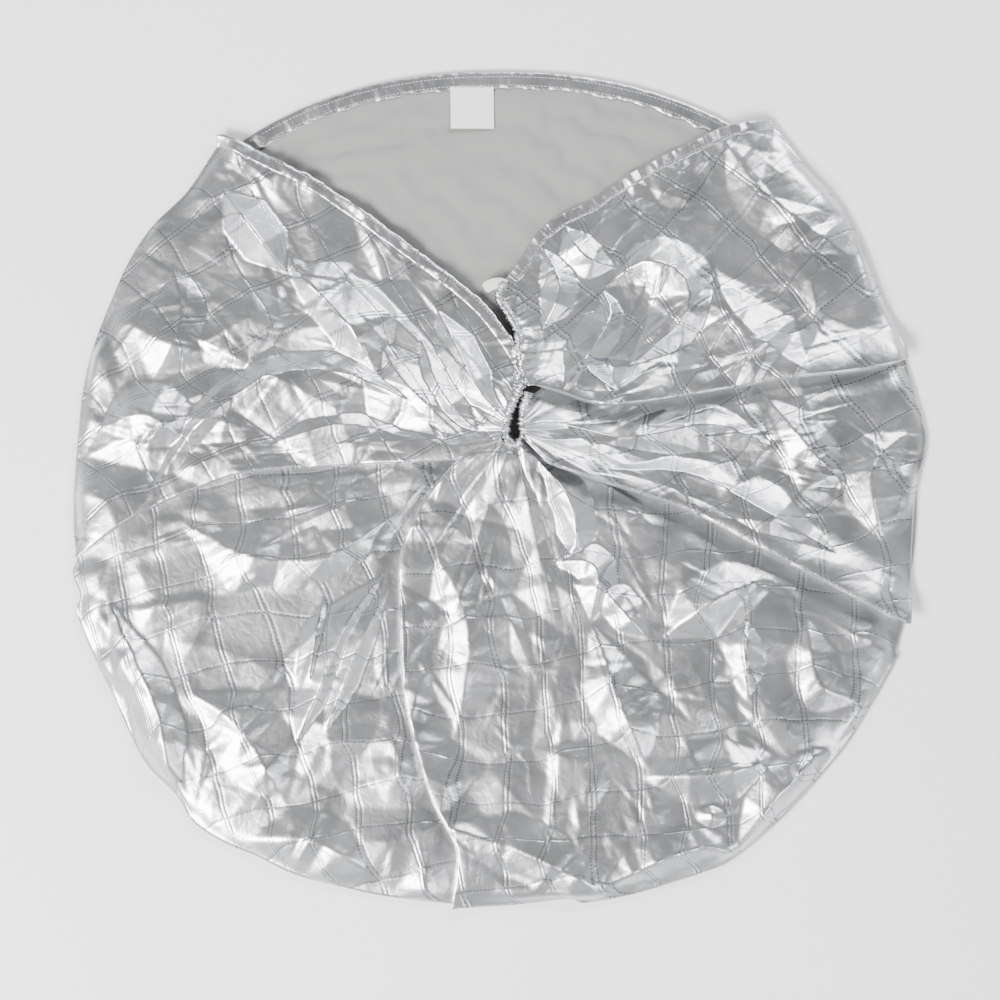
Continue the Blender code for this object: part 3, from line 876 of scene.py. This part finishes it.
def ribbon_finish():
    """Woven satin: smooth and white, with fine warp threads."""
    finish, tree, shader = shader_of("satin ribbon", 0.42)
    cloth = node(tree, "ShaderNodeUVMap", uv_map="cloth").outputs["UV"]
    warp = node(tree, "ShaderNodeTexWave", {"Vector": cloth, "Scale": 900.0, "Distortion": 0.4})
    cloud = node(tree, "ShaderNodeTexNoise", {"Vector": cloth, "Scale": 90.0})
    tint = mixed_color(tree, cloud.outputs["Fac"], (0.80, 0.81, 0.83), (0.90, 0.90, 0.91))
    tree.links.new(tint, shader.inputs["Base Color"])
    add_relief(tree, shader, warp.outputs["Fac"], 0.5, 0.06 * MM)
    return finish


label_steps = np.linspace(0, 1, LABEL_CELLS)
label_u, label_v = np.meshgrid(label_steps, label_steps, indexing="ij")
label_x = LABEL_LEFT + (LABEL_RIGHT - LABEL_LEFT) * label_u + 0.5 * MM * (1 - label_v)
label_y = LABEL_FOOT + (LABEL_HEAD - LABEL_FOOT) * label_v
label_curl = LABEL_CURL * (1 - label_v) ** 2 * (0.6 + 0.4 * np.cos(3 * label_u))
label_z = LABEL_LEVEL + label_curl + LABEL_BOW * np.sin(math.pi * label_u)
label_place = np.stack([label_x, label_y, label_z], -1)
label_mesh = grid_mesh("label_ribbon", LABEL_CELLS, LABEL_CELLS, label_place, label_place[..., :2])
label = add_piece("label_ribbon", turned_up(label_mesh), ribbon_finish())
thicken(label, 0.22 * MM)
label_top = np.stack([np.linspace(LABEL_LEFT, LABEL_RIGHT, 40), np.full(40, LABEL_STITCH_LINE)], -1)
label_level = level(LABEL_STITCH_LEVEL)
label_stitches = add_stitches("label_stitches", label_top, 0, label_level, pitch=2.8 * MM, length=2.0 * MM)


# Elastic casing: the cloth's inner edge turned over a flat elastic, which bunches it into
# tight ruffles. One length closes round the mouth and one runs along the loose corner.
MOUTH_ROUTE = (
    (23, 104), (16, 90), (9, 75), (5, 60), (6, 48), (13, 43), (20, 47), (23, 57), (22, 72), (27, 92),
)
CORNER_ROUTE = ((27, 102), (22, 116), (19, 130), (17, 150), (9, 166), (-1, 182), (4, 196))
CASING_SIDES = 33
CASING_STEP = 0.42 * MM
SMOOTHING = 17


def casing_height(x, y):
    return cloth_height(x, y) - 1.5 * MM


def add_casing(name, route, radius, columns, seed, finish, ruffle):
    """A bunched tube along a route, with gathers that run round it."""
    line = dense_line(route, columns)
    side = edge_frame(line)
    middle = casing_height(line[:, 0], line[:, 1])
    padded = np.pad(middle, SMOOTHING // 2, mode="edge")
    middle = np.convolve(padded, np.ones(SMOOTHING) / SMOOTHING, mode="valid")
    turns = np.linspace(0, 2 * math.pi, CASING_SIDES)
    share = np.linspace(0, 1, columns)
    run = share * columns * CASING_STEP
    swell = waves(run[:, None], turns[None, :] * 0.6 * MM, 1.9 * MM, seed) * 0.6
    swell = swell + waves(run[:, None], np.sin(turns)[None, :] * 2 * MM, 3.6 * MM, seed + 1) * 0.8
    ends = smooth(share / 0.05) * smooth((1 - share) / 0.05)
    size = (radius + ruffle * swell * ends[:, None]) * MM
    place = np.empty((columns, CASING_SIDES, 3))
    place[..., :2] = line[:, None] + side[:, None] * (np.cos(turns)[None, :] * size)[..., None]
    place[..., 2] = middle[:, None] + np.sin(turns)[None, :] * size * 0.9
    place[:, -1] = place[:, 0]
    cloth = np.stack(np.broadcast_arrays(run[:, None], turns[None, :] * radius * MM), -1)
    mesh = grid_mesh(name, columns, CASING_SIDES, place, cloth)
    shape = bmesh.new()
    shape.from_mesh(mesh)
    bmesh.ops.remove_doubles(shape, verts=shape.verts, dist=0.01 * MM)
    bmesh.ops.recalc_face_normals(shape, faces=shape.faces)
    shape.to_mesh(mesh)
    shape.free()
    return add_piece(name, mesh, finish)


def elastic_finish():
    """White knitted elastic: ribs across it and rows of loops along it."""
    finish, tree, shader = shader_of("knitted elastic", 0.85)
    cloth = node(tree, "ShaderNodeUVMap", uv_map="cloth").outputs["UV"]
    ribs = node(tree, "ShaderNodeTexWave", {"Vector": cloth, "Scale": 260.0, "Distortion": 1.5})
    rows = {"Vector": cloth, "Scale": 420.0, "Distortion": 0.6}
    loops = node(tree, "ShaderNodeTexWave", rows, bands_direction="Y")
    knit = math_of(tree, "MAXIMUM", ribs.outputs["Fac"], loops.outputs["Fac"])
    tint = mixed_color(tree, knit, (0.66, 0.67, 0.66), (0.86, 0.86, 0.84))
    tree.links.new(tint, shader.inputs["Base Color"])
    add_relief(tree, shader, knit, 0.8, 0.3 * MM)
    return finish


elastic = elastic_finish()
mouth_casing = add_casing("mouth_casing", MOUTH_ROUTE, 4.6, 560, 91, plain_foil, 1.5)
mouth_elastic = add_casing("mouth_elastic", MOUTH_ROUTE, 1.8, 160, 92, elastic, 0.1)
corner_casing = add_casing("corner_casing_ruffles", CORNER_ROUTE, 4.4, 520, 93, plain_foil, 1.5)
corner_elastic = add_casing("corner_elastic_band", CORNER_ROUTE, 1.8, 120, 94, elastic, 0.1)

# Cut end of the elastic: a flat knitted tab that stands out of the casing at the corner.
TAB_ROUTE = ((6, 193), (0, 195), (-8, 194), (-15, 190))
TAB_LENGTH, TAB_HALF_WIDTH = 21 * MM, 5.2 * MM
TAB_CELLS = (30, 22)
TAB_RISE, TAB_DROOP, TAB_BOW = 2 * MM, 4 * MM, 0.5 * MM
tab_line = dense_line(TAB_ROUTE, TAB_CELLS[0])
tab_side = edge_frame(tab_line)
tab_steps, tab_sides = np.linspace(0, 1, TAB_CELLS[0]), np.linspace(-1, 1, TAB_CELLS[1])
tab_run, tab_across = np.meshgrid(tab_steps, tab_sides, indexing="ij")
tab_half = TAB_HALF_WIDTH * np.sqrt(1 - np.clip((tab_run - 0.86) / 0.14, 0, 1) ** 2 * 0.5)
tab_plan = tab_line[:, None] + tab_side[:, None] * (tab_across * tab_half)[..., None]
tab_level = float(casing_height(np.array([0.0]), np.array([0.195]))[0]) + TAB_RISE
tab_height = tab_level - TAB_DROOP * tab_run**2 + TAB_BOW * np.cos(tab_across * 2.2)
tab_place = np.concatenate([tab_plan, tab_height[..., None]], -1)
tab_cloth = np.stack([tab_run * TAB_LENGTH, tab_across * TAB_HALF_WIDTH], -1)
tab_mesh = grid_mesh("elastic_cut_end", *TAB_CELLS, tab_place, tab_cloth)
elastic_end = add_piece("elastic_cut_end", turned_up(tab_mesh), elastic)
thicken(elastic_end, 1.3 * MM)


for piece in (front_foil, front_lining, arc_hem, arc_stitches, arc_inner_stitches):
    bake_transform(piece)
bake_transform(leaf_five)

# Each piece's body, its finish slot and the CAD nodes that it stands for. A piece with no body
# is left unattached, and the first leaf stands for the whole of the rear panel.
STANDS_FOR = (
    (front_foil, None, "foil_cloth", ("front_shell", "front_wadding", "arc_shell", "arc_wadding")),
    (front_lining, None, "lining", ("front_lining", "arc_lining")),
    (arc_hem, None, "hem_foil", ("arc_hem",)),
    (arc_stitches, None, "thread", ("arc_stitch_outer",)),
    (arc_inner_stitches, None, "thread", ("arc_stitch_inner",)),
    (leaf_five, None, "foil_cloth", ("corner_shell", "corner_wadding", "corner_lining")),
    (leaf_one, "root", "foil_cloth", ("rear_shell", "rear_wadding", "rear_lining")),
    (leaf_two, "root", "foil_cloth", ()),
    (leaf_three, "root", "foil_cloth", ()),
    (leaf_four, "root", "foil_cloth", ()),
    (left_hem, "root", "hem_foil", ("left_hem",)),
    (left_stitches, "root", "thread", ("left_hem_stitch",)),
    (rim_stitches, "root", "thread", ("rim_seam_thread",)),
    (mouth_casing, "root", "foil_cloth", ("elastic_casing",)),
    (mouth_elastic, "root", "elastic", ("elastic_band",)),
    (label_stitches, "arc_flap", "thread", ("label_stitch",)),
    (label, "label", "label_ribbon", ("label",)),
    (right_hem, "corner_flap", "hem_foil", ("corner_hem",)),
    (right_stitches, "corner_flap", "thread", ("corner_hem_stitch",)),
    (corner_casing, "corner_flap", "foil_cloth", ("corner_casing",)),
    (corner_elastic, "corner_flap", "elastic", ("corner_elastic",)),
    (elastic_end, "corner_flap", "elastic", ("elastic_end",)),
)
for piece, body, finish_slot, nodes in STANDS_FOR:
    if body:
        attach(piece, body)
    if nodes:
        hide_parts(*nodes)


# Plain pale floor and soft studio light: a wide key from the lower left, a fill from the
# right, and a strip from behind.
FLOOR_COLOR = (0.93, 0.93, 0.93, 1)
SKY_COLOR = (0.93, 0.96, 1.0, 1)
HORIZON_STRENGTH, OVERHEAD_STRENGTH = 1.1, 0.16
floor_finish, _, floor_shader = shader_of("pale floor", 0.9)
floor_shader.inputs["Base Color"].default_value = FLOOR_COLOR
floor = add_piece("floor", plane_mesh("floor", 4, 6), floor_finish)

world = bpy.data.worlds.new("studio")
world.use_nodes = True
sky = world.node_tree
view = node(sky, "ShaderNodeTexCoord").outputs["Generated"]
up = node(sky, "ShaderNodeSeparateXYZ", {"Vector": view}).outputs["Z"]
heights = {"Value": up, "From Min": 0.2, "From Max": 0.8}
strengths = {"To Min": HORIZON_STRENGTH, "To Max": OVERHEAD_STRENGTH}
ceiling = node(sky, "ShaderNodeMapRange", heights | strengths, interpolation_type="SMOOTHSTEP")
sky.links.new(ceiling.outputs["Result"], sky.nodes["Background"].inputs["Strength"])
sky.nodes["Background"].inputs["Color"].default_value = SKY_COLOR
bpy.context.scene.world = world


def softbox(name, place, width, length, power, color=(1, 1, 1)):
    data = bpy.data.lights.new(name, "AREA")
    data.shape = "RECTANGLE"
    data.size, data.size_y = width, length
    data.energy = power
    data.color = color
    lamp = bpy.data.objects.new(name, data)
    lamp.location = place
    lamp.rotation_euler = Vector(place).to_track_quat("Z", "Y").to_euler()
    bpy.context.scene.collection.objects.link(lamp)


softbox("key", (-1.72, -1.2, 2.13), 1.6, 1.3, 258, (1.0, 0.975, 0.94))
softbox("near_right", (1.6, -1.6, 1.9), 1.0, 1.0, 26)
softbox("back_right", (1.2, 2.15, 1.7), 2.0, 0.8, 84)
